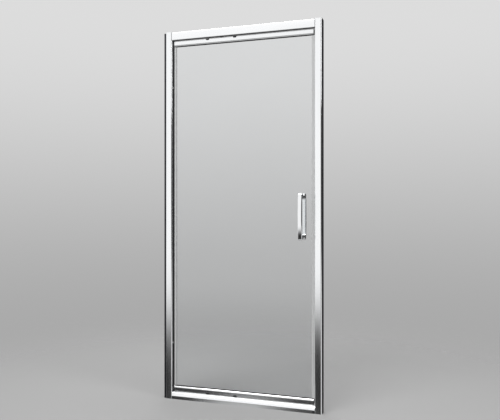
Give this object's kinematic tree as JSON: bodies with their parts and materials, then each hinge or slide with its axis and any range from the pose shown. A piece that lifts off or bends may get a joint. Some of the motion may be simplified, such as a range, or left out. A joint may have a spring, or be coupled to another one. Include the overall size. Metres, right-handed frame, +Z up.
{
  "type": "pivot shower door",
  "caption": "Framed pivot shower door for a niche: glass leaf on an offset pivot, bow pull handles on both faces, jambs that slide on wall profiles, and a low threshold.",
  "frame": {"origin": "middle of the frame's footprint, on the floor", "axes": "+X from the pivot side to the strike side, +Y from the room into the shower, +Z up"},
  "size_m": [0.88, 0.106, 2],
  "materials": {
    "bright_aluminium": "bright polished and anodised",
    "dark_aluminium": "dark anodised",
    "chrome": "polished chrome plate",
    "steel": "stainless, turned",
    "dark_plastic": "fine moulded grain",
    "bearing_plastic": "smooth bearing plastic",
    "glazing_rubber": "smooth extruded",
    "clear_vinyl": "clear extruded vinyl",
    "magnet_strip": "magnetic strip in a soft skin",
    "safety_glass": "clear polished"
  },
  "bodies": {
    "frame": {"hinge_wall_profile": "dark_aluminium", "strike_wall_profile": "dark_aluminium", "hinge_jamb": "bright_aluminium", "strike_jamb": "bright_aluminium", "hinge_jamb_cap": "chrome", "strike_jamb_cap": "chrome", "top_rail": "bright_aluminium", "threshold": "bright_aluminium", "top_rail_seal": "glazing_rubber", "threshold_hinge_end": "chrome", "threshold_strike_end": "chrome", "hinge_jamb_strip": "glazing_rubber", "strike_jamb_magnet": "magnet_strip", "frame_corner_screws": "steel", "profile_screws": "steel", "profile_nut_blocks": "dark_plastic", "top_pivot_block": "steel", "top_pivot_bush": "bearing_plastic", "bottom_pivot_block": "steel", "bottom_pivot_pin": "steel", "pivot_block_screws": "steel"},
    "leaf": {"glass_panel": "safety_glass", "leaf_top_rail": "bright_aluminium", "leaf_bottom_rail": "bright_aluminium", "leaf_top_rail_caps": "dark_plastic", "leaf_bottom_rail_caps": "dark_plastic", "top_glazing_gasket": "glazing_rubber", "bottom_glazing_gasket": "glazing_rubber", "hinge_edge_seal": "clear_vinyl", "strike_edge_seal": "clear_vinyl", "leaf_magnet": "magnet_strip", "hinge_drip_seal": "clear_vinyl", "strike_drip_seal": "clear_vinyl", "top_pivot_carrier": "dark_plastic", "top_pivot_pin": "steel", "bottom_pivot_carrier": "dark_plastic", "bottom_pivot_bush": "bearing_plastic", "pivot_carrier_screws": "steel", "outer_handle": "chrome", "inner_handle": "chrome", "handle_pads": "glazing_rubber", "handle_sleeves": "bearing_plastic", "handle_studs": "steel"}
  },
  "joints": [
    {"name": "door_pivot", "type": "hinge", "parent": "frame", "child": "leaf", "pos_m": [-0.11, 0, 1], "axis": [0, 0, -1], "range_deg": [0, 90]}
  ]
}
